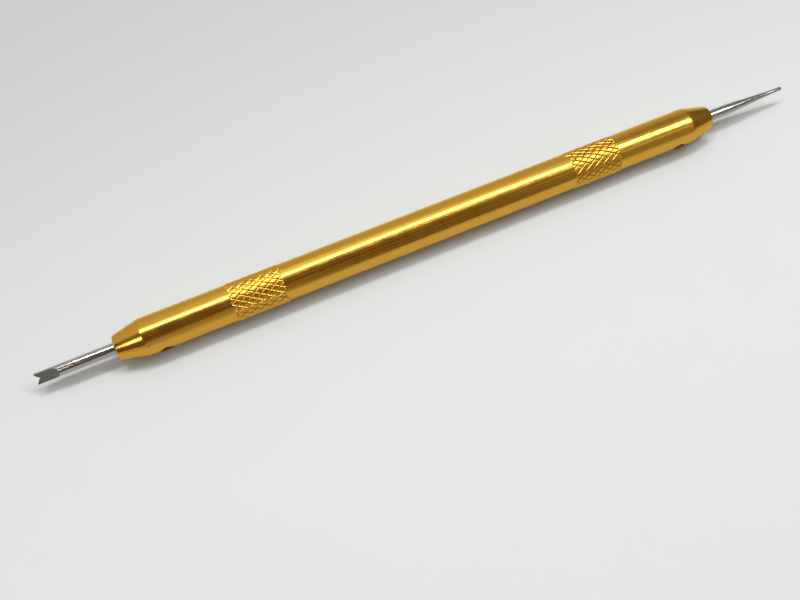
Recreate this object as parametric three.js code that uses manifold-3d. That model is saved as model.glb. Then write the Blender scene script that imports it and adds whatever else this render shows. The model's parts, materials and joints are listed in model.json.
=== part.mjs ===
// Spring bar tool: a double-ended hand tool for fitting watch straps. One turned, anodised handle
// carries a forked blade at one end and a stepped pin at the other. Each tip stands in a blind bore
// and is clamped there by a slotted set screw, so a worn tip can be changed.
// Millimetres. X runs along the tool, with the fork towards -X and the pin towards +X, and Z is up.
// The tool lies on its two knurled bands on Z = 0, with the origin under its middle.
import * as THREE from "three";
import * as BufferGeometryUtils from "three/addons/utils/BufferGeometryUtils.js";
import Module from "manifold-3d";

// Driving dimensions: handle
const handleLength = 110;
const barrelRadius = 3.2;
const noseLength = 4.6;
const noseEndRadius = 2.1;
const noseEdgeBreak = 0.25;
const knurlFromEnd = 19.4;
const knurlLength = 9;
const knurlRadius = 3.25;
const knurlEdge = 0.12;

// Driving dimensions: blind bores for the tips
const boreRadius = 1.05;
const boreDepth = 15.2;
const boreMouthChamfer = 0.12;
const drillPointAngle = 118;
const seatGap = 0.02;

// Driving dimensions: M2 set screws and their tapped holes
const screwFromEnd = 7.4;
const screwDropAngle = 15;
const tappedHoleRadius = 1;
const tappedHoleFloor = 0.5;
const countersinkRadius = 1.2;
const countersinkDepth = 0.2;
const screwRadius = 0.97;
const screwLength = 1.9;
const screwPointRadius = 0.6;
const screwChamfer = 0.15;
const slotWidth = 0.3;
const slotDepth = 0.42;
const screwPointGap = 0.04;

// Driving dimensions: forked tip
const shankInsertion = 15;
const shankChamfer = 0.15;
const forkExposed = 13;
const forkRadius = 0.96;
const forkFlatLength = 2.3;
const forkRunoutLength = 3.8;
const forkTipHalfThickness = 0.27;
const forkRootHalfThickness = 0.33;
const forkNotchDepth = 0.68;
const forkNotchRadius = 0.24;
const forkNotchHalfWidth = 0.8;
const forkRoll = 45;

// Driving dimensions: pin tip
const pinExposed = 16;
const pinRadius = 0.96;
const pinStraightLength = 4.4;
const pinTaperLength = 8.2;
const pinNeckRadius = 0.42;
const pinEndRadius = 0.34;
const pinEndChamfer = 0.08;

// Facets: the handle's count puts a flat facet under the tool, so that it lies still
const handleFacets = 20;
const tipFacets = 16;
const screwFacets = 24;
const curveSegments = 6;

// How far cutting bodies reach past what they cut, and how near two corners count as one
const cutMargin = 1;
const weldDistance = 1e-5;

const halfHandle = handleLength / 2;
const halfFacet = Math.PI / handleFacets;
const axisHeight = knurlRadius;
const drillPointLength = boreRadius / Math.tan(THREE.MathUtils.degToRad(drillPointAngle / 2));
const forkSeatOffset = boreRadius - forkRadius - seatGap;
const pinSeatOffset = boreRadius - pinRadius - seatGap;

const wasm = await Module();
wasm.setup();

// A closed geometry as a solid that can be joined and cut.
function toSolid(geometry) {
  const bare = geometry.clone();
  bare.deleteAttribute("normal");
  bare.deleteAttribute("uv");
  const merged = BufferGeometryUtils.mergeVertices(bare, weldDistance);
  const vertProperties = merged.attributes.position.array;
  const triVerts = new Uint32Array(merged.index.array);
  return new wasm.Manifold(new wasm.Mesh({ numProp: 3, vertProperties, triVerts }));
}

function toGeometry(solid) {
  const { vertProperties, triVerts } = solid.getMesh();
  const geometry = new THREE.BufferGeometry();
  geometry.setAttribute("position", new THREE.BufferAttribute(vertProperties, 3));
  geometry.setIndex(new THREE.BufferAttribute(triVerts, 1));
  geometry.computeVertexNormals();
  return geometry;
}

// A round body about X from [distance along X, radius] pairs, with flat facets above and below.
function turned(profile, facets) {
  const points = profile.map(([along, radius]) => new THREE.Vector2(radius, along));
  const lathe = new THREE.LatheGeometry(points, facets, Math.PI / facets);
  return lathe.rotateZ(-Math.PI / 2);
}

// The radius of a polygon's corners when its flats stand at the given radius.
const cornerRadius = (flatRadius) => flatRadius / Math.cos(halfFacet);

const anodisedGold = new THREE.MeshStandardMaterial({
  color: 0xd39a2c,
  metalness: 1,
  roughness: 0.28,
});
const polishedSteel = new THREE.MeshStandardMaterial({
  color: 0xb9bab8,
  metalness: 1,
  roughness: 0.25,
});
const blackenedSteel = new THREE.MeshStandardMaterial({
  color: 0x55524d,
  metalness: 1,
  roughness: 0.45,
});

function namedMesh(name, geometry, material) {
  const mesh = new THREE.Mesh(geometry, material.clone());
  mesh.name = name;
  return mesh;
}

// Half of the handle's outline, from the middle of the bore's floor round to the barrel. The side
// is -1 for the fork end and 1 for the pin end.
function handleEnd(side) {
  const at = (fromEnd, radius) => [side * (halfHandle - fromEnd), radius];
  const knurlEnd = knurlFromEnd + knurlLength;
  const noseSlope = (barrelRadius - noseEndRadius) / noseLength;
  return [
    at(boreDepth + drillPointLength, 0),
    at(boreDepth, boreRadius),
    at(boreMouthChamfer, boreRadius),
    at(0, boreRadius + boreMouthChamfer),
    at(0, noseEndRadius - noseEdgeBreak),
    at(noseEdgeBreak, noseEndRadius + noseEdgeBreak * noseSlope),
    at(noseLength, cornerRadius(barrelRadius)),
    at(knurlFromEnd - knurlEdge, cornerRadius(barrelRadius)),
    at(knurlFromEnd, cornerRadius(knurlRadius)),
    at(knurlEnd, cornerRadius(knurlRadius)),
    at(knurlEnd + knurlEdge, cornerRadius(barrelRadius)),
  ];
}

// A tapped hole with a countersunk mouth, standing along Z with its floor nearest the handle's axis.
function tappedHole() {
  const mouth = barrelRadius;
  const profile = [
    new THREE.Vector2(0, tappedHoleFloor),
    new THREE.Vector2(tappedHoleRadius, tappedHoleFloor),
    new THREE.Vector2(tappedHoleRadius, mouth - countersinkDepth),
    new THREE.Vector2(countersinkRadius, mouth),
    new THREE.Vector2(countersinkRadius, mouth + cutMargin),
    new THREE.Vector2(0, mouth + cutMargin),
  ];
  return new THREE.LatheGeometry(profile, screwFacets).rotateX(Math.PI / 2);
}

// Turns a body standing along Z to point out of the handle's side, along a screw's own axis.
function alongScrew(geometry, side) {
  const turn = Math.PI / 2 + THREE.MathUtils.degToRad(screwDropAngle);
  return geometry.rotateX(turn).translate(side * (halfHandle - screwFromEnd), 0, 0);
}

function makeHandle() {
  const outline = [...handleEnd(-1), ...handleEnd(1).reverse()];
  const blank = toSolid(turned(outline, handleFacets));
  const holes = [-1, 1].map((side) => toSolid(alongScrew(tappedHole(), side)));
  const drilled = holes.reduce((body, hole) => body.subtract(hole), blank);
  return namedMesh("handle", toGeometry(drilled), anodisedGold);
}

// A headless screw with a flat point and a driver slot. Its point presses the tip's shank against the
// far wall of the bore, and pointHeight is where that point stands, out from the handle's axis.
function makeSetScrew(name, side, pointHeight) {
  const top = pointHeight + screwLength;
  const profile = [
    new THREE.Vector2(0, pointHeight),
    new THREE.Vector2(screwPointRadius, pointHeight),
    new THREE.Vector2(screwRadius, pointHeight + screwRadius - screwPointRadius),
    new THREE.Vector2(screwRadius, top - screwChamfer),
    new THREE.Vector2(screwRadius - screwChamfer, top),
    new THREE.Vector2(0, top),
  ];
  const body = toSolid(new THREE.LatheGeometry(profile, screwFacets).rotateX(Math.PI / 2));
  const slot = new THREE.BoxGeometry(2 * tappedHoleRadius + cutMargin, slotWidth, 2 * slotDepth);
  const cut = toGeometry(body.subtract(toSolid(slot.translate(0, 0, top))));
  return namedMesh(name, alongScrew(cut, side), blackenedSteel);
}

// The notch between the prongs, seen square on: X along the tip and Y across it.
function notchOutline() {
  const arcCentre = forkExposed - forkNotchDepth + forkNotchRadius;
  const mouthSlope = (forkNotchHalfWidth - forkNotchRadius) / (forkExposed - arcCentre);
  const outside = forkExposed + cutMargin;
  const outsideHalfWidth = forkNotchHalfWidth + cutMargin * mouthSlope;
  const shape = new THREE.Shape();
  shape.moveTo(outside, -outsideHalfWidth);
  shape.lineTo(outside, outsideHalfWidth);
  shape.lineTo(arcCentre, forkNotchRadius);
  shape.absarc(arcCentre, 0, forkNotchRadius, Math.PI / 2, -Math.PI / 2, false);
  return shape;
}

// The blade seen edge on: flat near the prongs, and curving out to the round shank behind them.
function bladeThickness(innerEnd) {
  const wide = forkRadius + cutMargin;
  const flatEnd = forkExposed - forkFlatLength;
  const runoutEnd = forkExposed - forkRunoutLength;
  const shape = new THREE.Shape();
  shape.moveTo(innerEnd, -wide);
  shape.lineTo(runoutEnd - cutMargin, -wide);
  shape.lineTo(runoutEnd, -forkRadius);
  shape.quadraticCurveTo(
    (runoutEnd + flatEnd) / 2, -forkRootHalfThickness, flatEnd, -forkRootHalfThickness);
  shape.lineTo(forkExposed, -forkTipHalfThickness);
  shape.lineTo(forkExposed, forkTipHalfThickness);
  shape.lineTo(flatEnd, forkRootHalfThickness);
  shape.quadraticCurveTo(
    (runoutEnd + flatEnd) / 2, forkRootHalfThickness, runoutEnd, forkRadius);
  shape.lineTo(runoutEnd - cutMargin, wide);
  shape.lineTo(innerEnd, wide);
  return shape;
}

// A shape drawn in X and Y, given an even thickness on both sides of its plane.
function slab(shape) {
  const depth = 2 * (forkRadius + cutMargin);
  const options = { depth, bevelEnabled: false, curveSegments };
  return new THREE.ExtrudeGeometry(shape, options).translate(0, 0, -depth / 2);
}

// The forked tip along +X from the handle's end face: a round shank with a head ground to a blade.
function makeForkTip() {
  const innerEnd = -shankInsertion;
  const round = turned([
    [innerEnd, 0],
    [innerEnd, forkRadius - shankChamfer],
    [innerEnd + shankChamfer, forkRadius],
    [forkExposed, forkRadius],
    [forkExposed, 0],
  ], tipFacets);
  const thickness = toSolid(slab(bladeThickness(innerEnd - cutMargin)).rotateX(Math.PI / 2));
  const ground = toSolid(round).intersect(thickness).subtract(toSolid(slab(notchOutline())));
  return namedMesh("fork_tip", toGeometry(ground), polishedSteel);
}

// The pin along +X from the handle's end face: a straight root, a long taper and a slender end.
function makePinTip() {
  const taperStart = pinStraightLength;
  const taperEnd = pinStraightLength + pinTaperLength;
  const profile = [
    [-shankInsertion, 0],
    [-shankInsertion, pinRadius - shankChamfer],
    [-shankInsertion + shankChamfer, pinRadius],
    [taperStart, pinRadius],
    [taperEnd, pinNeckRadius],
    [pinExposed - pinEndChamfer, pinEndRadius],
    [pinExposed, pinEndRadius - pinEndChamfer],
    [pinExposed, 0],
  ];
  return namedMesh("pin_tip", turned(profile, tipFacets), polishedSteel);
}

// A tip is pushed off the handle's axis, away from its screw, until it lies on the bore's wall.
function seat(tip, side, offset) {
  const drop = THREE.MathUtils.degToRad(screwDropAngle);
  tip.position.set(side * halfHandle, offset * Math.cos(drop), offset * Math.sin(drop));
  return tip;
}

const tool = new THREE.Group();
tool.position.set((forkExposed - pinExposed) / 2, 0, axisHeight);
tool.add(makeHandle());

const forkTip = seat(makeForkTip(), -1, forkSeatOffset);
forkTip.rotation.set(THREE.MathUtils.degToRad(forkRoll), Math.PI, 0);
tool.add(forkTip);

const pinTip = seat(makePinTip(), 1, pinSeatOffset);
tool.add(pinTip);

const forkScrewPoint = forkRadius - forkSeatOffset + screwPointGap;
const pinScrewPoint = pinRadius - pinSeatOffset + screwPointGap;
tool.add(makeSetScrew("fork_tip_set_screw", -1, forkScrewPoint));
tool.add(makeSetScrew("pin_tip_set_screw", 1, pinScrewPoint));

const group = new THREE.Group();
group.add(tool);

export default group;
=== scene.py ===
"""Spring bar tool: a double-ended hand tool for fitting watch straps.

A turned, gold anodised handle with two diamond-knurled bands, a forked steel blade at one end, a steel pin
at the other, and a slotted M2 set screw in the handle's side to clamp each of them.

Shapes are worked out in millimetres in the frame's own axes: X along the tool from fork to pin, Z up. Each
finished mesh is scaled to metres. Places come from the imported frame.
"""

import json
import math

import bpy
import numpy as np
from mathutils import Matrix, Vector


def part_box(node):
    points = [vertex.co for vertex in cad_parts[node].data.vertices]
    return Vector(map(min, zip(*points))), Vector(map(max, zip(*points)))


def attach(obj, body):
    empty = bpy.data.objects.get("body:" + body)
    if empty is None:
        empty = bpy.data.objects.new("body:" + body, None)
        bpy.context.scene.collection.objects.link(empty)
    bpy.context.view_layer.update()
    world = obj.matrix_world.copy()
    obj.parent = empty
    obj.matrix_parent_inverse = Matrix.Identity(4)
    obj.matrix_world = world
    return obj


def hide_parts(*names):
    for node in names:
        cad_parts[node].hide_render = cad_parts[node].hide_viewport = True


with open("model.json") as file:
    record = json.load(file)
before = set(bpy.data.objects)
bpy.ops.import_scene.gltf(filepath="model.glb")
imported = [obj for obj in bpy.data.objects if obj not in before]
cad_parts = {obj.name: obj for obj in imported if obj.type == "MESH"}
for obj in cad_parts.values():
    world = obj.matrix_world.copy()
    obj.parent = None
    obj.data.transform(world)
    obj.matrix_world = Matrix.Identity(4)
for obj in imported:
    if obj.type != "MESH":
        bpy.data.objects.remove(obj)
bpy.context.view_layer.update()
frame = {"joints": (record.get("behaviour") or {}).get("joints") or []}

MM = 0.001
FULL_TURN = 2 * math.pi

# Where the frame says things are, in millimetres
handle_low, handle_high = (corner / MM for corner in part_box("handle"))
AXIS_HEIGHT = (handle_low.z + handle_high.z) / 2
FORK_FACE_X = handle_low.x
PIN_FACE_X = handle_high.x
FORK_LENGTH = FORK_FACE_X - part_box("fork_tip")[0].x / MM
PIN_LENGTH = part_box("pin_tip")[1].x / MM - PIN_FACE_X
screw_joint = next(joint for joint in frame["joints"] if joint["name"] == "fork_screw_slide")
SCREW_AXIS = Vector(screw_joint["axis"]).normalized()

# Handle
BARREL_RADIUS = 3.2
NOSE_LENGTH = 4.6
NOSE_END_RADIUS = 2.1
NOSE_EDGE_ROUND = 0.22
NOSE_SHOULDER_ROUND = 2.0
BORE_RADIUS = 1.05
BORE_MOUTH_RADIUS = 1.17
BORE_EDGE_ROUND = 0.03
BORE_FLOOR_ROUND = 0.05
BORE_DEPTH = 15.2
DRILL_POINT_ANGLE = 118

# Diamond knurl: two crossing families of helical grooves between flat-topped diamonds
KNURL_FROM_END = 19.4
KNURL_STARTS = 18
KNURL_PITCH = 1.66
KNURL_STEPS = 16
KNURL_FLANK_STEPS = 3
KNURL_ROWS = 87
KNURL_LENGTH = KNURL_ROWS * KNURL_PITCH / KNURL_STEPS
KNURL_PEAK_RADIUS = 3.25
KNURL_VALLEY_RADIUS = 3.15
HANDLE_SEGMENTS = KNURL_STARTS * KNURL_STEPS

# M2 set screws and their tapped holes
SCREW_FROM_END = 7.4
THREAD_PITCH = 0.4
THREAD_ROWS = 20
THREAD_SEGMENTS = 72
THREAD_SLOPE = 2.9
THREAD_ROOT = 0.18
HOLE_MAJOR_RADIUS = 1.02
HOLE_MINOR_RADIUS = 0.83
HOLE_FLOOR = 0.5
COUNTERSINK_RADIUS = 1.2
SCREW_MAJOR_RADIUS = 0.96
SCREW_MINOR_RADIUS = 0.76
SCREW_LENGTH = 1.9
SCREW_POINT_RADIUS = 0.6
SCREW_CHAMFER = 0.15
SCREW_POINT_GAP = 0.04
SLOT_WIDTH = 0.3
SLOT_DEPTH = 0.42
SLOT_FLOOR_ROUND = 0.06

# Tips
SEAT_GAP = 0.02
SHANK_INSERTION = 15.0
SHANK_CHAMFER = 0.15
SHANK_END_ROUND = 0.02
SHANK_SIDE_ROUND = 0.05
TIP_SEGMENTS = 128
FORK_RADIUS = 0.96
FORK_ROLL = 45
FORK_FLAT_LENGTH = 2.3
FORK_RUNOUT_LENGTH = 3.8
FORK_TIP_HALF_THICKNESS = 0.27
FORK_ROOT_HALF_THICKNESS = 0.33
FORK_NOTCH_DEPTH = 0.68
FORK_NOTCH_RADIUS = 0.24
FORK_NOTCH_HALF_WIDTH = 0.8
FORK_BEVEL = 0.018
PIN_RADIUS = 0.96
PIN_STRAIGHT_LENGTH = 4.4
PIN_TAPER_LENGTH = 8.2
PIN_TAPER_BLEND = 40.0
PIN_NECK_RADIUS = 0.42
PIN_END_RADIUS = 0.34
PIN_END_ROUND = 0.12

# Meshing
SHARP_ANGLE = math.radians(25)
CURVE_STEPS = 24
CUT_MARGIN = 1.0

# Floor and camera, in metres and degrees but for the lens, and the key light that bends over the tool
FLOOR_HALF_SIZE = 6.0
CAMERA_TARGET = Vector((-11.7, -10.61, 3.15)) * MM
CAMERA_DISTANCE = 147.2 * MM
CAMERA_AZIMUTH = -24.03
CAMERA_ELEVATION = 64.98
CAMERA_LENS = 40.5
KEY_BEND = (0.13, 0.15, 0.5)
KEY_WIDTH = 0.07
KEY_RADIANCE = 19.5


# --- Mesh building -------------------------------------------------------------------------------------

def new_object(name, vertices, faces):
    mesh = bpy.data.meshes.new(name)
    mesh.from_pydata([tuple(v) for v in vertices], [], faces)
    mesh.update()
    made = bpy.data.objects.new(name, mesh)
    bpy.context.scene.collection.objects.link(made)
    return made


def rounded(corners, steps=6):
    """The polyline through (x, r, radius) corners, with an arc of that radius in place of each corner."""
    points = [corners[0][:2]]
    for before, corner, after in zip(corners, corners[1:], corners[2:]):
        here, radius = Vector(corner[:2]), corner[2]
        if radius == 0:
            points.append(tuple(here))
            continue
        back = (Vector(before[:2]) - here).normalized()
        ahead = (Vector(after[:2]) - here).normalized()
        half = back.angle(ahead) / 2
        centre = here + (back + ahead).normalized() * (radius / math.sin(half))
        reach = radius / math.tan(half)
        start, end = here + back * reach - centre, here + ahead * reach - centre
        for step in range(steps + 1):
            spoke = start.lerp(end, step / steps).normalized() * radius
            points.append(tuple(centre + spoke))
    points.append(corners[-1][:2])
    return points


def grid_body(name, rings, first_pole_x, last_pole_x, split=None):
    """A closed body about X. Each ring is an X and the radii around it, and a pole closes each end. A split
    function may cut the cell after a ring and a column into triangles."""
    segments = len(rings[0][1])
    turn = FULL_TURN * np.arange(segments) / segments
    circle = np.stack([np.cos(turn), np.sin(turn)], 1)
    grids = []
    for x, radii in rings:
        grids.append(np.column_stack([np.full(segments, x), np.asarray(radii)[:, None] * circle]))
    vertices = [*np.concatenate(grids), (first_pole_x, 0, 0), (last_pole_x, 0, 0)]
    low_pole, high_pole = len(vertices) - 2, len(vertices) - 1
    last_ring = (len(rings) - 1) * segments
    faces = []
    for i in range(segments):
        after = (i + 1) % segments
        faces.append((low_pole, after, i))
        faces.append((high_pole, last_ring + i, last_ring + after))
        for ring in range(len(rings) - 1):
            a, b = ring * segments + i, ring * segments + after
            corners = (a, b, b + segments, a + segments)
            faces.extend(split(ring, i, corners) if split else [corners])
    return new_object(name, vertices, faces)


def revolve(name, profile, segments):
    """A closed body about X from (x, r) points that start and end on the axis."""
    rings = [(x, np.full(segments, radius)) for x, radius in profile[1:-1]]
    return grid_body(name, rings, profile[0][0], profile[-1][0])


def prism(name, outline, depth):
    """A body with the (x, y) outline, reaching from -depth to depth along Z."""
    count = len(outline)
    vertices = [(x, y, z) for z in (-depth, depth) for x, y in outline]
    faces = [tuple(reversed(range(count))), tuple(range(count, 2 * count))]
    for i in range(count):
        after = (i + 1) % count
        faces.append((i, after, count + after, count + i))
    return new_object(name, vertices, faces)


def curve(start, control, end):
    """Points on a quadratic curve."""
    start, control, end = Vector(start), Vector(control), Vector(end)
    shares = [step / CURVE_STEPS for step in range(CURVE_STEPS + 1)]
    return [tuple(start.lerp(control, t).lerp(control.lerp(end, t), t)) for t in shares]


def turn_to(x_axis, y_axis):
    """The turn that takes X and Y to these two directions."""
    return Matrix((x_axis, y_axis, x_axis.cross(y_axis))).transposed().to_4x4()


def end_face(side):
    """Where the handle ends: at the fork for side -1, and at the pin for side 1."""
    return PIN_FACE_X if side > 0 else FORK_FACE_X


def apply_modifiers(target):
    evaluated = target.evaluated_get(bpy.context.evaluated_depsgraph_get())
    made = bpy.data.meshes.new_from_object(evaluated)
    target.modifiers.clear()
    target.data = made


def combine(target, operation, cutter):
    """Applies a boolean to the target and removes the cutter. New faces keep the cutter's material."""
    modifier = target.modifiers.new(operation, "BOOLEAN")
    modifier.operation = operation
    modifier.solver = "MANIFOLD"
    modifier.material_mode = "TRANSFER"
    modifier.object = cutter
    apply_modifiers(target)
    bpy.data.objects.remove(cutter)
    return target


def bevel(target, width):
    modifier = target.modifiers.new("bevel", "BEVEL")
    modifier.width = width
    modifier.segments = 2
    modifier.limit_method = "ANGLE"
    modifier.angle_limit = SHARP_ANGLE
    apply_modifiers(target)
    return target


def set_material(target, material):
    target.data.materials.clear()
    target.data.materials.append(material)
    return target


def finish_piece(target, body, node):
    """Shades a finished mesh, scales it to metres and ties it to the frame."""
    target.data.transform(Matrix.Scale(MM, 4))
    target.data.shade_smooth()
    target.data.set_sharp_from_angle(angle=SHARP_ANGLE)
    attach(target, body)
    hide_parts(node)
    return target


# --- Materials -----------------------------------------------------------------------------------------

class Nodes:
    """A material's or world's node tree, with short calls for the nodes that these share."""

    def __init__(self, owner, shader):
        self.tree = owner.node_tree
        self.shader = self.tree.nodes[shader]

    def link(self, source, socket):
        self.tree.links.new(source, socket)

    def feed(self, name, source):
        """Links a source to the shader's socket of that name."""
        self.link(source, self.shader.inputs[name])

    def node(self, kind, **settings):
        made = self.tree.nodes.new("ShaderNode" + kind)
        for key, value in settings.items():
            setattr(made, key, value)
        return made

    def place_in_object(self):
        return self.node("TexCoord").outputs["Object"]

    def axes(self, vector):
        split = self.node("SeparateXYZ")
        self.link(vector, split.inputs[0])
        return split.outputs

    def math(self, operation, a, b=None):
        made = self.node("Math", operation=operation)
        for socket, value in zip(made.inputs, (a, b)):
            if isinstance(value, (int, float)):
                socket.default_value = value
            elif value is not None:
                self.link(value, socket)
        return made.outputs[0]

    def stretched(self, vector, scale):
        made = self.node("Mapping")
        self.link(vector, made.inputs["Vector"])
        made.inputs["Scale"].default_value = scale
        return made.outputs[0]

    def noise(self, vector, scale, detail=3.0, roughness=0.55):
        made = self.node("TexNoise")
        self.link(vector, made.inputs["Vector"])
        made.inputs["Scale"].default_value = scale
        made.inputs["Detail"].default_value = detail
        made.inputs["Roughness"].default_value = roughness
        return made.outputs["Fac"]

    def rings(self, position, scale, detail=4.0):
        """Noise that changes along one coordinate only, as the marks of a turning tool do."""
        made = self.node("TexNoise", noise_dimensions="1D")
        self.link(position, made.inputs["W"])
        made.inputs["Scale"].default_value = scale
        made.inputs["Detail"].default_value = detail
        return made.outputs["Fac"]

    def range(self, value, low, high, to_low, to_high):
        """Goes smoothly from to_low to to_high as the value goes from low to high."""
        made = self.node("MapRange", interpolation_type="SMOOTHSTEP")
        self.link(value, made.inputs["Value"])
        sockets = ("From Min", "From Max", "To Min", "To Max")
        for socket, number in zip(sockets, (low, high, to_low, to_high)):
            made.inputs[socket].default_value = number
        return made.outputs["Result"]

    def blend(self, factor, a, b):
        """Colour a where the factor is 0 and colour b where it is 1."""
        made = self.node("Mix", data_type="RGBA")
        self.link(factor, made.inputs["Factor"])
        for socket, value in ((made.inputs[6], a), (made.inputs[7], b)):
            if isinstance(value, tuple):
                socket.default_value = (*value, 1)
            else:
                self.link(value, socket)
        return made.outputs[2]

    def bump(self, height, distance, under=None):
        made = self.node("Bump")
        made.inputs["Strength"].default_value = 1.0
        made.inputs["Distance"].default_value = distance
        self.link(height, made.inputs["Height"])
        if under is not None:
            self.link(under, made.inputs["Normal"])
        return made.outputs["Normal"]


def new_material(name, **values):
    """A material and its nodes, with the values set on its shader."""
    material = bpy.data.materials.new(name)
    material.use_nodes = True
    nodes = Nodes(material, "Principled BSDF")
    for socket, value in values.items():
        nodes.shader.inputs[socket.replace("_", " ")].default_value = value
    return material, nodes


def radius_from_axis(nodes, axes):
    """Distance from the handle's axis, in metres."""
    across = nodes.math("MULTIPLY", axes["Y"], axes["Y"])
    lifted = nodes.math("SUBTRACT", axes["Z"], AXIS_HEIGHT * MM)
    up = nodes.math("MULTIPLY", lifted, lifted)
    return nodes.math("SQRT", nodes.math("ADD", across, up))


def in_knurl(nodes, axes, value):
    """The value inside the knurled bands, and 0 elsewhere."""
    middle = (FORK_FACE_X + PIN_FACE_X) / 2 * MM
    from_middle = nodes.math("ABSOLUTE", nodes.math("SUBTRACT", axes["X"], middle))
    outer = ((PIN_FACE_X - FORK_FACE_X) / 2 - KNURL_FROM_END) * MM
    inner = outer - KNURL_LENGTH * MM
    edge = 0.1 * MM
    past_inner = nodes.range(from_middle, inner, inner + edge, 0.0, value)
    return nodes.math("MULTIPLY", past_inner, nodes.range(from_middle, outer - edge, outer, 1.0, 0.0))


def anodised_gold():
    """Turned aluminium under clear gold anodising: fine turning marks, and painted shade in the knurl's
    grooves.
    """
    material, nodes = new_material("anodised_gold", Metallic=1.0, Coat_Weight=0.15, Coat_IOR=2.0,
                                    Coat_Roughness=0.15, Specular_Tint=(1.0, 0.85, 0.5, 1.0))
    place_in = nodes.place_in_object()
    axes = nodes.axes(place_in)
    cloudy = nodes.noise(place_in, 160)
    body = nodes.blend(cloudy, (0.7, 0.375, 0.037), (0.67, 0.35, 0.031))
    radius = radius_from_axis(nodes, axes)
    # Painted shade: the knurl's grooves get a darker gold the deeper they are cut
    depth = nodes.range(radius, KNURL_VALLEY_RADIUS * MM, BARREL_RADIUS * MM, 1.0, 0.0)
    painted_groove_shade = nodes.math("MULTIPLY", depth, in_knurl(nodes, axes, 1.0))
    nodes.feed("Base Color", nodes.blend(painted_groove_shade, body, (0.36, 0.165, 0.015)))
    smudges = nodes.noise(place_in, 420, detail=5.0)
    smooth = nodes.range(smudges, 0.3, 0.7, 0.17, 0.22)
    nodes.feed("Roughness", nodes.math("ADD", smooth, in_knurl(nodes, axes, 0.09)))
    turning = nodes.rings(axes["X"], 9000, detail=2.0)
    grain = nodes.noise(place_in, 14000, detail=2.0)
    marks = nodes.bump(turning, 0.0000006)
    nodes.feed("Normal", nodes.bump(grain, 0.0000005, under=marks))
    return material


def shaded_hole_gold():
    """The same anodising in a threaded hole, painted dark as shade in the recess."""
    material, nodes = new_material("shaded_hole_gold", Metallic=1.0)
    place_in = nodes.place_in_object()
    hole_mottle = nodes.noise(place_in, 1500)
    # Painted shade: the hole's walls get a dark, mottled gold
    nodes.feed("Base Color", nodes.blend(hole_mottle, (0.16, 0.08, 0.012), (0.24, 0.12, 0.016)))
    nodes.feed("Roughness", nodes.range(hole_mottle, 0.3, 0.7, 0.4, 0.5))
    return material


def polished_steel():
    """Bright turned steel with faint rings and a few dull patches."""
    material, nodes = new_material("polished_steel", Metallic=1.0)
    place_in = nodes.place_in_object()
    axes = nodes.axes(place_in)
    cloudy = nodes.noise(place_in, 700)
    nodes.feed("Base Color", nodes.blend(cloudy, (0.45, 0.44, 0.425), (0.39, 0.38, 0.37)))
    nodes.feed("Roughness", nodes.range(nodes.noise(place_in, 1500), 0.3, 0.7, 0.14, 0.19))
    turning = nodes.rings(axes["X"], 14000)
    nodes.feed("Normal", nodes.bump(turning, 0.0000012))
    return material


def ground_steel():
    """Matte steel with the scratches of a grinding wheel running across the blade."""
    material, nodes = new_material("ground_steel", Metallic=1.0)
    place_in = nodes.place_in_object()
    scratches = nodes.noise(nodes.stretched(place_in, (12.0, 1.0, 1.0)), 2600, detail=6.0, roughness=0.7)
    tone = nodes.range(scratches, 0.35, 0.65, 0.0, 1.0)
    nodes.feed("Base Color", nodes.blend(tone, (0.18, 0.175, 0.16), (0.25, 0.245, 0.225)))
    nodes.feed("Roughness", nodes.range(scratches, 0.3, 0.7, 0.42, 0.58))
    nodes.feed("Normal", nodes.bump(scratches, 0.000004))
    return material


def blackened_steel():
    """Blued and slightly worn screw steel."""
    material, nodes = new_material("blackened_steel", Metallic=1.0)
    place_in = nodes.place_in_object()
    worn = nodes.range(nodes.noise(place_in, 2200, detail=5.0), 0.45, 0.7, 0.0, 1.0)
    nodes.feed("Base Color", nodes.blend(worn, (0.09, 0.085, 0.08), (0.24, 0.23, 0.21)))
    nodes.feed("Roughness", nodes.range(worn, 0.0, 1.0, 0.42, 0.3))
    nodes.feed("Normal", nodes.bump(nodes.noise(place_in, 9000), 0.000004))
    return material


def pale_table():
    """Matte white board, with painted shade making it a little greyer behind the tool."""
    material, nodes = new_material("pale_table", Roughness=0.7)
    place_in = nodes.place_in_object()
    axes = nodes.axes(place_in)
    mottle = nodes.noise(place_in, 90, detail=5.0)
    board = nodes.blend(mottle, (0.438, 0.459, 0.46), (0.452, 0.471, 0.473))
    # Painted shade: the board turns greyer towards the back
    back_shade = nodes.range(axes["Y"], -0.04, 0.1, 0, 1)
    nodes.feed("Base Color", nodes.blend(back_shade, board, (0.33, 0.344, 0.342)))
    nodes.feed("Normal", nodes.bump(nodes.noise(place_in, 1800), 0.00001))
    return material


# --- Handle --------------------------------------------------------------------------------------------

def steps_to_groove(phase):
    """Grid steps from a point to the nearest groove of one family."""
    return min(phase % KNURL_STEPS, -phase % KNURL_STEPS)


def knurl_radius(row, column):
    """The radius at a grid point of a knurled band: the lower of the two groove families' flanks."""
    if row in (0, KNURL_ROWS):
        return BARREL_RADIUS
    steps = min(steps_to_groove(column + row), steps_to_groove(column - row), KNURL_FLANK_STEPS)
    rise = math.sin(math.pi / 2 * steps / KNURL_FLANK_STEPS)
    return KNURL_VALLEY_RADIUS + rise * (KNURL_PEAK_RADIUS - KNURL_VALLEY_RADIUS)


def split_knurl_cell(row, column, corners):
    """Cuts a cell of a knurled band in two, along the nearest groove."""
    a, b, c, d = corners
    if steps_to_groove(column + row + 1) <= steps_to_groove(column - row):
        return [(a, b, d), (b, c, d)]
    return [(a, b, c), (a, c, d)]


def knurl_band(start_x):
    """A band's rings, each an X and the radii around it, from the given X towards the pin."""
    step = KNURL_PITCH / KNURL_STEPS
    rows, columns = range(KNURL_ROWS + 1), range(HANDLE_SEGMENTS)
    return [(start_x + row * step, [knurl_radius(row, i) for i in columns]) for row in rows]


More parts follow.
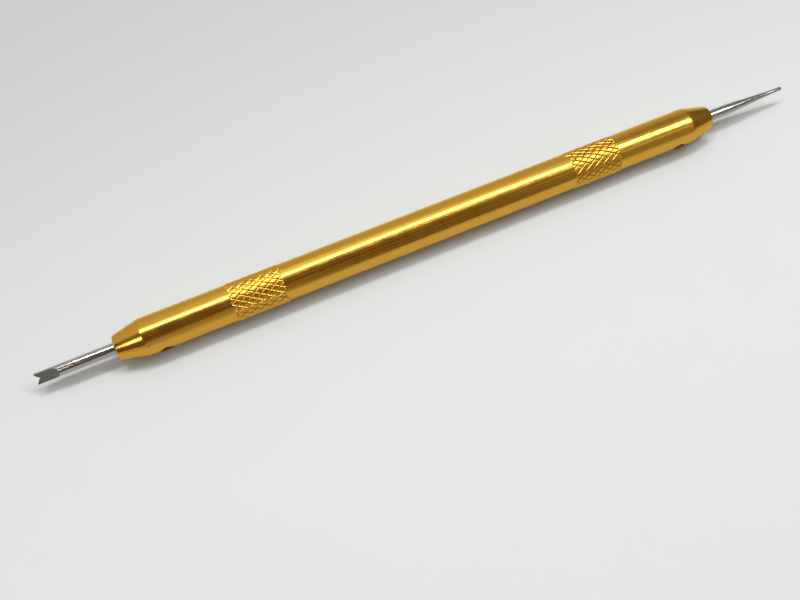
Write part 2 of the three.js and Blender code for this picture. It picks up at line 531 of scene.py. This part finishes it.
def handle_end(side):
    """Half of the outline, from the bore's floor round the nose to the barrel, for the end on that side."""
    face = end_face(side)
    drill_point = BORE_RADIUS / math.tan(math.radians(DRILL_POINT_ANGLE / 2))

    def at(from_end, radius, rounding=0.0):
        return (face - side * from_end, radius, rounding)
    return rounded([
        at(BORE_DEPTH + drill_point, 0),
        at(BORE_DEPTH, BORE_RADIUS, BORE_FLOOR_ROUND),
        at(BORE_MOUTH_RADIUS - BORE_RADIUS, BORE_RADIUS, BORE_EDGE_ROUND),
        at(0, BORE_MOUTH_RADIUS, BORE_EDGE_ROUND),
        at(0, NOSE_END_RADIUS, NOSE_EDGE_ROUND),
        at(NOSE_LENGTH, BARREL_RADIUS, NOSE_SHOULDER_ROUND),
        at(KNURL_FROM_END, BARREL_RADIUS),
    ])


def make_handle(material, hole_shade_material):
    """The turned rod with its bores and knurled bands, drilled and tapped for a set screw near each end."""
    def plain(profile):
        return [(x, [radius] * HANDLE_SEGMENTS) for x, radius in profile]
    fork_end, pin_end = handle_end(-1), handle_end(1)[::-1]
    fork_band = knurl_band(FORK_FACE_X + KNURL_FROM_END)
    pin_band = knurl_band(PIN_FACE_X - KNURL_FROM_END - KNURL_LENGTH)
    rings = [*plain(fork_end[1:-1]), *fork_band, *pin_band, *plain(pin_end[1:-1])]
    band_starts = (len(fork_end) - 2, len(fork_end) - 2 + len(fork_band))

    def split(ring, column, corners):
        for start in band_starts:
            if start <= ring < start + KNURL_ROWS:
                return split_knurl_cell(ring - start, column, corners)
        return [corners]
    handle = grid_body("gold_handle", rings, fork_end[0][0], pin_end[-1][0], split)
    handle.data.transform(Matrix.Translation((0, 0, AXIS_HEIGHT)))
    set_material(handle, material)
    for side in (-1, 1):
        combine(handle, "DIFFERENCE", along_screw(set_material(tapped_hole(), hole_shade_material), side))
    return finish_piece(handle, "handle", "handle")


# --- Set screws ----------------------------------------------------------------------------------------

def thread_rings(low, high, minor, major, envelope):
    """Rings of a right-hand thread about X, held inside or outside the envelope by its (x, radius) rule."""
    count = round((high - low) / THREAD_PITCH * THREAD_ROWS)
    turn = np.arange(THREAD_SEGMENTS) / THREAD_SEGMENTS
    rings = []
    for row in range(count + 1):
        x = low + (high - low) * row / count
        phase = (x / THREAD_PITCH - turn) % 1
        rise = np.clip(THREAD_SLOPE * (0.5 - np.abs(phase - 0.5)) - THREAD_ROOT, 0, 1)
        rings.append((x, envelope(x, minor + rise * (major - minor))))
    return rings


def tapped_hole():
    """The cutter for a tapped hole with a countersunk mouth, along X from the handle's axis outwards."""
    outside = BARREL_RADIUS + CUT_MARGIN

    def widened(x, radii):
        mouth_cone = x - (BARREL_RADIUS - COUNTERSINK_RADIUS)
        return np.maximum(radii, min(mouth_cone, COUNTERSINK_RADIUS + CUT_MARGIN))
    rings = thread_rings(HOLE_FLOOR, outside, HOLE_MINOR_RADIUS, HOLE_MAJOR_RADIUS, widened)
    return grid_body("tapped_hole", rings, rings[0][0], rings[-1][0])


def along_screw(target, side):
    """Turns a body about X to point out of the handle's side, along the set screw of the end on that side."""
    middle = Vector((end_face(side) - side * SCREW_FROM_END, 0, AXIS_HEIGHT))
    target.data.transform(Matrix.Translation(middle) @ turn_to(SCREW_AXIS, Vector((1, 0, 0))))
    return target


def make_set_screw(body, side, tip_radius, material):
    """A threaded screw with a slotted top and a flat point, its point just clear of the tip's shank."""
    low = 2 * tip_radius + SEAT_GAP - BORE_RADIUS + SCREW_POINT_GAP
    top = low + SCREW_LENGTH

    def chamfered(x, radii):
        point_cone = SCREW_POINT_RADIUS + x - low
        top_cone = SCREW_MAJOR_RADIUS - SCREW_CHAMFER + top - x
        return np.minimum(radii, min(point_cone, top_cone))
    rings = thread_rings(low, top, SCREW_MINOR_RADIUS, SCREW_MAJOR_RADIUS, chamfered)
    screw = set_material(grid_body(body.replace("set_screw", "clamp_screw"), rings, low, top), material)
    half_width = SLOT_WIDTH / 2
    outline = rounded([
        (top + CUT_MARGIN, -half_width, 0),
        (top + CUT_MARGIN, half_width, 0),
        (top - SLOT_DEPTH, half_width, SLOT_FLOOR_ROUND),
        (top - SLOT_DEPTH, -half_width, SLOT_FLOOR_ROUND),
        (top + CUT_MARGIN, -half_width, 0),
    ])[:-1]
    slot = prism("slot", outline, SCREW_MAJOR_RADIUS + CUT_MARGIN)
    slot.data.transform(Matrix.Rotation(math.pi / 2, 4, "X"))
    combine(screw, "DIFFERENCE", set_material(slot, material))
    along_screw(screw, side)
    return finish_piece(screw, body, body)


# --- Tips ----------------------------------------------------------------------------------------------

def seated(face_x, tip_radius):
    """Where a tip's own axis meets the handle's end: off the handle's axis, away from its screw."""
    offset = BORE_RADIUS - tip_radius - SEAT_GAP
    return Vector((face_x, 0, AXIS_HEIGHT)) - SCREW_AXIS * offset


def notch_outline():
    """The notch between the prongs seen square on: (along, across) points."""
    arc_centre = FORK_LENGTH - FORK_NOTCH_DEPTH + FORK_NOTCH_RADIUS
    mouth_slope = (FORK_NOTCH_HALF_WIDTH - FORK_NOTCH_RADIUS) / (FORK_LENGTH - arc_centre)
    outside, half_width = FORK_LENGTH + CUT_MARGIN, FORK_NOTCH_HALF_WIDTH + CUT_MARGIN * mouth_slope
    arc = []
    for degrees in range(90, 271, 15):
        angle = math.radians(degrees)
        along = arc_centre + FORK_NOTCH_RADIUS * math.cos(angle)
        arc.append((along, FORK_NOTCH_RADIUS * math.sin(angle)))
    return [(outside, -half_width), (outside, half_width), *arc]


def blade_thickness():
    """The blade seen edge on: flat near the prongs, and curving out to the round shank behind them."""
    inner, wide = -SHANK_INSERTION - CUT_MARGIN, FORK_RADIUS + CUT_MARGIN
    flat_end, run_end = FORK_LENGTH - FORK_FLAT_LENGTH, FORK_LENGTH - FORK_RUNOUT_LENGTH
    control = ((flat_end + run_end) / 2, FORK_ROOT_HALF_THICKNESS)
    run = curve((run_end, FORK_RADIUS), control, (flat_end, FORK_ROOT_HALF_THICKNESS))
    upper = [(inner, wide), (run_end - CUT_MARGIN, wide), *run]
    tip = (FORK_LENGTH + CUT_MARGIN, FORK_TIP_HALF_THICKNESS)
    lower = [(x, -y) for x, y in upper]
    return [*lower, (tip[0], -tip[1]), tip, *upper[::-1]]


def make_fork(shank_material, blade_material):
    """A round rod ground flat on both sides at its outer end, notched, beveled and rolled to its place."""
    profile = rounded([
        (-SHANK_INSERTION, 0, 0),
        (-SHANK_INSERTION, FORK_RADIUS - SHANK_CHAMFER, SHANK_END_ROUND),
        (-SHANK_INSERTION + SHANK_CHAMFER, FORK_RADIUS, SHANK_SIDE_ROUND),
        (FORK_LENGTH, FORK_RADIUS, 0),
        (FORK_LENGTH, 0, 0),
    ])
    fork = set_material(revolve("forked_tip", profile, TIP_SEGMENTS), shank_material)
    thickness = prism("thickness", blade_thickness(), FORK_RADIUS + CUT_MARGIN)
    thickness.data.transform(Matrix.Rotation(math.pi / 2, 4, "X"))
    combine(fork, "INTERSECT", set_material(thickness, blade_material))
    notch = prism("notch", notch_outline(), FORK_RADIUS + CUT_MARGIN)
    combine(fork, "DIFFERENCE", set_material(notch, blade_material))
    bevel(fork, FORK_BEVEL)
    roll = math.radians(FORK_ROLL)
    turn = turn_to(Vector((-1, 0, 0)), Vector((0, math.cos(roll), math.sin(roll))))
    fork.data.transform(Matrix.Translation(seated(FORK_FACE_X, FORK_RADIUS)) @ turn)
    return finish_piece(fork, "fork_tip", "fork_tip")


def make_pin(material):
    """A turned pin: a straight root, a long taper and a slender end."""
    taper_end = PIN_STRAIGHT_LENGTH + PIN_TAPER_LENGTH
    profile = rounded([
        (-SHANK_INSERTION, 0, 0),
        (-SHANK_INSERTION, PIN_RADIUS - SHANK_CHAMFER, SHANK_END_ROUND),
        (-SHANK_INSERTION + SHANK_CHAMFER, PIN_RADIUS, SHANK_SIDE_ROUND),
        (PIN_STRAIGHT_LENGTH, PIN_RADIUS, PIN_TAPER_BLEND),
        (taper_end, PIN_NECK_RADIUS, PIN_TAPER_BLEND),
        (PIN_LENGTH, PIN_END_RADIUS, PIN_END_ROUND),
        (PIN_LENGTH, 0, 0),
    ], steps=8)
    pin = set_material(revolve("stepped_pin", profile, TIP_SEGMENTS), material)
    pin.data.transform(Matrix.Translation(seated(PIN_FACE_X, PIN_RADIUS)))
    return finish_piece(pin, "pin_tip", "pin_tip")


# --- Stage, lights and camera --------------------------------------------------------------------------

def towards(azimuth, elevation):
    """The direction from the tool to a viewer or light. Azimuth 0 is the -Y side."""
    a, e = math.radians(azimuth), math.radians(elevation)
    return Vector((math.sin(a) * math.cos(e), -math.cos(a) * math.cos(e), math.sin(e)))


def make_floor(material):
    size = FLOOR_HALF_SIZE
    corners = [(-size, -size, 0), (size, -size, 0), (size, size, 0), (-size, size, 0)]
    floor = new_object("floor", corners, [(0, 1, 2, 3)])
    set_material(floor, material)


def make_camera():
    camera = bpy.data.objects.new("camera", bpy.data.cameras.new("camera"))
    bpy.context.scene.collection.objects.link(camera)
    camera.data.lens = CAMERA_LENS
    camera.data.sensor_width = 36
    camera.data.clip_start = 0.01
    back = towards(CAMERA_AZIMUTH, CAMERA_ELEVATION)
    camera.location = CAMERA_TARGET + back * CAMERA_DISTANCE
    camera.rotation_mode = "QUATERNION"
    camera.rotation_quaternion = (-back).to_track_quat("-Z", "Y")
    bpy.context.scene.camera = camera


def softbox(name, start, end, width, radiance, color=(1, 1, 1)):
    """A rectangular light whose middle line runs from start to end, facing the tool's middle."""
    start, end = Vector(start), Vector(end)
    light = bpy.data.lights.new(name, "AREA")
    light.shape = "RECTANGLE"
    light.size, light.size_y = (end - start).length, width
    light.energy = radiance * math.pi * light.size * light.size_y
    light.color = color
    made = bpy.data.objects.new(name, light)
    bpy.context.scene.collection.objects.link(made)
    middle = (start + end) / 2
    along = (end - start).normalized()
    up = middle.cross(along).normalized()
    made.matrix_world = Matrix.Translation(middle) @ turn_to(along, up)
    return made


def make_world():
    """A dim studio, shaded by the direction in which each part of it is seen from the tool."""
    world = bpy.data.worlds.new("studio")
    bpy.context.scene.world = world
    world.use_nodes = True
    nodes = Nodes(world, "Background")
    axes = nodes.axes(nodes.node("TexCoord").outputs["Generated"])

    # Near side: dark, and on the left paler below a slanting edge
    shade = nodes.blend(nodes.range(axes["X"], 0.2, 0.5, 0, 1), (0.15, 0.095, 0.07), (0.37, 0.355, 0.3))
    left_side = nodes.blend(nodes.range(axes["X"], -0.3, -0.1, 0, 1), (0.8, 0.77, 0.65), (0.43, 0.41, 0.36))
    slope = nodes.math("ADD", nodes.math("MULTIPLY", axes["X"], 1.2), 0.64)
    edge = nodes.math("MAXIMUM", slope, 0.18)
    below = nodes.range(nodes.math("SUBTRACT", axes["Z"], edge), -0.06, 0.06, 1, 0)
    low_left = nodes.math("MULTIPLY", below, nodes.range(axes["X"], 0.05, 0.15, 1, 0))
    near = nodes.blend(low_left, shade, left_side)

    # Far side: brighter, dimmer to the right, with a glow in its middle
    right = nodes.blend(nodes.range(axes["Z"], 0.3, 0.45, 0, 1), (0.55, 0.54, 0.5), (0.3, 0.29, 0.26))
    far = nodes.blend(nodes.range(axes["X"], 0.36, 0.47, 0, 1), (0.66, 0.64, 0.62), right)
    slant = nodes.math("ADD", axes["Y"], nodes.math("MULTIPLY", axes["X"], 0.9))
    left_limit = nodes.range(axes["X"], -0.12, 0.04, 0, 1)
    right_limit = nodes.range(axes["X"], 0.34, 0.43, 1, 0)
    limits = nodes.math("MULTIPLY", left_limit, right_limit)
    glow = nodes.math("MULTIPLY", nodes.range(slant, 0.78, 0.92, 1, 0), limits)
    lit = nodes.blend(glow, far, (1.3, 1.28, 1.2))

    # Both together, with a dark wall past the pin and a pale horizon all round
    sides = nodes.blend(nodes.range(axes["Y"], 0.12, 0.3, 0, 1), near, lit)
    around = nodes.blend(nodes.range(axes["X"], 0.6, 0.72, 0, 1), sides, (0.18, 0.165, 0.12))
    height = nodes.range(axes["Z"], 0.08, 0.12, 0, 1)
    nodes.feed("Color", nodes.blend(height, (0.6, 0.59, 0.57), around))


# --- Scene ---------------------------------------------------------------------------------------------

bpy.context.scene.view_settings.view_transform = "Standard"
gold, steel, ground, dark = anodised_gold(), polished_steel(), ground_steel(), blackened_steel()
make_camera()
make_handle(gold, shaded_hole_gold())
make_fork(steel, ground)
make_pin(steel)
make_set_screw("fork_tip_set_screw", -1, FORK_RADIUS, dark)
make_set_screw("pin_tip_set_screw", 1, PIN_RADIUS, dark)
make_floor(pale_table())
make_world()
softbox("left_key", (-0.22, 0.12, 0.5), KEY_BEND, KEY_WIDTH, KEY_RADIANCE)
softbox("right_key", KEY_BEND, (0.45, -0.11, 0.5), KEY_WIDTH, KEY_RADIANCE)
softbox("nose_glint", (-0.38, -0.19, 0.4), (-0.26, -0.19, 0.4), 0.09, 12.0)
softbox("faint_strip", (0.25, -0.36, 0.5), (0.45, -0.36, 0.5), 0.08, 0.65, (1, 0.95, 0.85))
# Lifts the shadows on the board, and isn't mirrored in the metal
table_fill = softbox("table_fill", (-0.5, 0, 0.6), (0.5, 0, 0.6), 1.0, 0.8)
table_fill.visible_glossy = False
